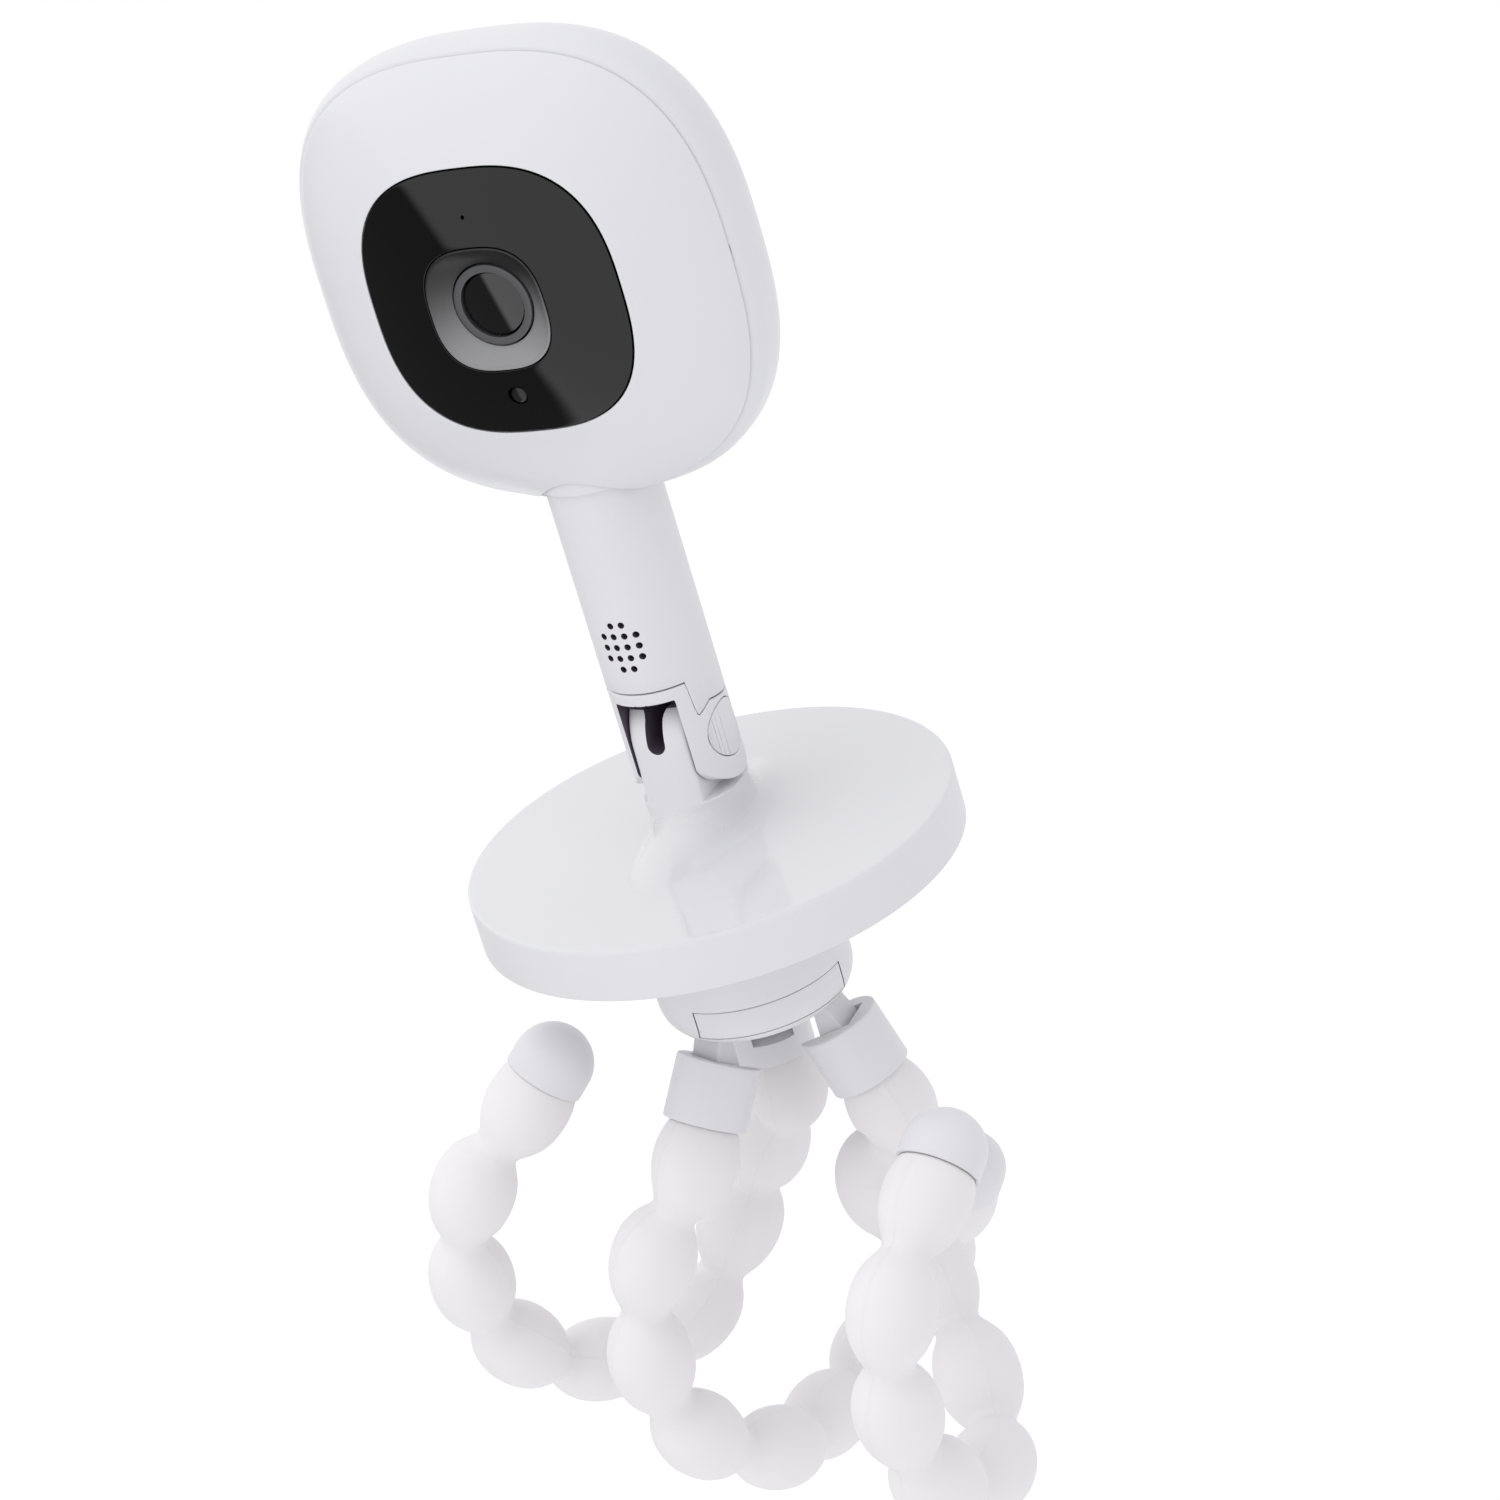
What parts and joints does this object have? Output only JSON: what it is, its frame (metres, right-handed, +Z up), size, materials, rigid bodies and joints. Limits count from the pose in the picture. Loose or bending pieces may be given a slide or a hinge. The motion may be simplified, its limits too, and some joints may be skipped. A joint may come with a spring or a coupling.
{
  "type": "baby monitor camera",
  "caption": "Baby monitor camera: rounded-square tilting head with a lens on a speaker stem and disc base, over a hub with flexible beaded legs that wrap round a rail.",
  "frame": {"origin": "middle of the bar that the legs wrap round", "axes": "+Z up along the disc base's axis, +X along the bar, -Y the side that the head faces before its yaw of 26.3 degrees"},
  "size_m": [0.1536, 0.1286, 0.3555],
  "materials": {
    "white_gloss": "gloss white moulded ABS",
    "white_satin": "satin white moulded ABS with a fine spark texture",
    "white_silicone": "matte white silicone with mould seams",
    "black_gloss": "polished black acrylic",
    "grey_satin": "satin dark grey plastic",
    "grey_metal": "satin grey anodised ring",
    "lens": "coated dark lens glass",
    "circuit": "solder-masked circuit board",
    "steel": "plain steel",
    "rubber": "matte pale rubber"
  },
  "bodies": {
    "hub": {"hub_housing": "white_satin", "leg_mount": "white_satin", "swivel_stud": "grey_satin", "leg_1_pin": "steel", "leg_2_pin": "steel", "leg_3_pin": "steel"},
    "latch": {"hub_latch": "white_satin"},
    "base": {"base_cover": "white_gloss", "base_plate": "white_satin", "ballast_ring": "steel", "foot_ring": "rubber", "hinge_axle": "steel"},
    "head": {"front_shell": "white_gloss", "rear_shell": "white_gloss", "window_panel": "black_gloss", "lens_surround": "grey_satin", "lens_barrel": "grey_metal", "lens_glass": "lens", "light_sensor": "black_gloss", "microphone": "steel", "infrared_board": "circuit", "sensor_board": "circuit", "main_board": "circuit", "stem_tube": "white_satin", "stem_collar": "white_satin", "speaker": "grey_satin", "power_inlet": "steel", "hinge_fork": "white_satin", "hinge_cap_left": "white_satin", "hinge_cap_right": "white_satin"},
    "leg_1_upper": {"leg_1_ferrule": "white_satin", "leg_1_1_segment": "white_silicone", "leg_1_1_core": "steel"},
    "leg_1_second": {"leg_1_2_segment": "white_silicone", "leg_1_2_core": "steel"},
    "leg_1_third": {"leg_1_3_segment": "white_silicone", "leg_1_3_core": "steel"},
    "leg_1_tip": {"leg_1_4_segment": "white_silicone", "leg_1_4_core": "steel", "leg_1_end_cap": "white_satin"},
    "leg_2_upper": {"leg_2_ferrule": "white_satin", "leg_2_1_segment": "white_silicone", "leg_2_1_core": "steel"},
    "leg_2_second": {"leg_2_2_segment": "white_silicone", "leg_2_2_core": "steel"},
    "leg_2_third": {"leg_2_3_segment": "white_silicone", "leg_2_3_core": "steel"},
    "leg_2_tip": {"leg_2_4_segment": "white_silicone", "leg_2_4_core": "steel", "leg_2_end_cap": "white_satin"},
    "leg_3_upper": {"leg_3_ferrule": "white_satin", "leg_3_1_segment": "white_silicone", "leg_3_1_core": "steel"},
    "leg_3_second": {"leg_3_2_segment": "white_silicone", "leg_3_2_core": "steel"},
    "leg_3_third": {"leg_3_3_segment": "white_silicone", "leg_3_3_core": "steel"},
    "leg_3_tip": {"leg_3_4_segment": "white_silicone", "leg_3_4_core": "steel", "leg_3_end_cap": "white_satin"}
  },
  "joints": [
    {"name": "base_swivel", "type": "hinge", "parent": "hub", "child": "base", "pos_m": [0, 0.02, 0.0878], "axis": [0, 0, 1], "range_deg": [-90, 90]},
    {"name": "head_tilt", "type": "hinge", "parent": "base", "child": "head", "pos_m": [0, 0.02, 0.1247], "axis": [0.8965, 0.4431, 0], "range_deg": [-35, 60]},
    {"name": "latch_press", "type": "slide", "parent": "hub", "child": "latch", "axis": [-0.8988, 0.4384, 0], "range_m": [0, 0.0012], "stiffness_N_per_m": 900},
    {"name": "leg_1_knuckle", "type": "hinge", "parent": "hub", "child": "leg_1_upper", "pos_m": [0, 0.0026, 0.0465], "axis": [-1, 0, 0], "range_deg": [-20, 8]},
    {"name": "leg_1_bend_1", "type": "hinge", "parent": "leg_1_upper", "child": "leg_1_second", "pos_m": [-0.00944, -0.02728, -0.00065], "axis": [0.8909, -0.4501, -0.0613], "range_deg": [-25, 12]},
    {"name": "leg_1_bend_2", "type": "hinge", "parent": "leg_1_second", "child": "leg_1_third", "pos_m": [-0.01085, -0.01447, -0.04613], "axis": [0.8708, 0.4353, 0.2284], "range_deg": [-25, 12]},
    {"name": "leg_1_bend_3", "type": "hinge", "parent": "leg_1_third", "child": "leg_1_tip", "pos_m": [-0.02664, 0.02842, -0.06016], "axis": [0.7949, 0.2874, -0.5344], "range_deg": [-25, 12]},
    {"name": "leg_2_knuckle", "type": "hinge", "parent": "hub", "child": "leg_2_upper", "pos_m": [-0.01507, 0.0287, 0.0465], "axis": [0.5, 0.866, 0], "range_deg": [-6, 42]},
    {"name": "leg_2_bend_1", "type": "hinge", "parent": "leg_2_upper", "child": "leg_2_second", "pos_m": [-0.0349, 0.02539, -0.00361], "axis": [-0.615, -0.553, 0.5622], "range_deg": [-25, 12]},
    {"name": "leg_2_bend_2", "type": "hinge", "parent": "leg_2_second", "child": "leg_2_third", "pos_m": [-0.05203, -0.00521, -0.03582], "axis": [-0.9473, 0.221, 0.2318], "range_deg": [-25, 12]},
    {"name": "leg_2_bend_3", "type": "hinge", "parent": "leg_2_third", "child": "leg_2_tip", "pos_m": [-0.05394, -0.04149, -0.00697], "axis": [-0.9569, 0.1883, 0.2211], "range_deg": [-25, 12]},
    {"name": "leg_3_knuckle", "type": "hinge", "parent": "hub", "child": "leg_3_upper", "pos_m": [0.01507, 0.0287, 0.0465], "axis": [0.5, -0.866, 0], "range_deg": [-12, 20]},
    {"name": "leg_3_bend_1", "type": "hinge", "parent": "leg_3_upper", "child": "leg_3_second", "pos_m": [0.0174, 0.02667, -0.00279], "axis": [-0.0753, -0.968, 0.2393], "range_deg": [-25, 12]},
    {"name": "leg_3_bend_2", "type": "hinge", "parent": "leg_3_second", "child": "leg_3_third", "pos_m": [0.0544, 0.01054, -0.03427], "axis": [-0.6648, -0.5336, -0.5228], "range_deg": [-25, 12]},
    {"name": "leg_3_bend_3", "type": "hinge", "parent": "leg_3_third", "child": "leg_3_tip", "pos_m": [0.07441, -0.02309, -0.01419], "axis": [-0.9627, -0.2269, 0.1476], "range_deg": [-25, 12]}
  ]
}
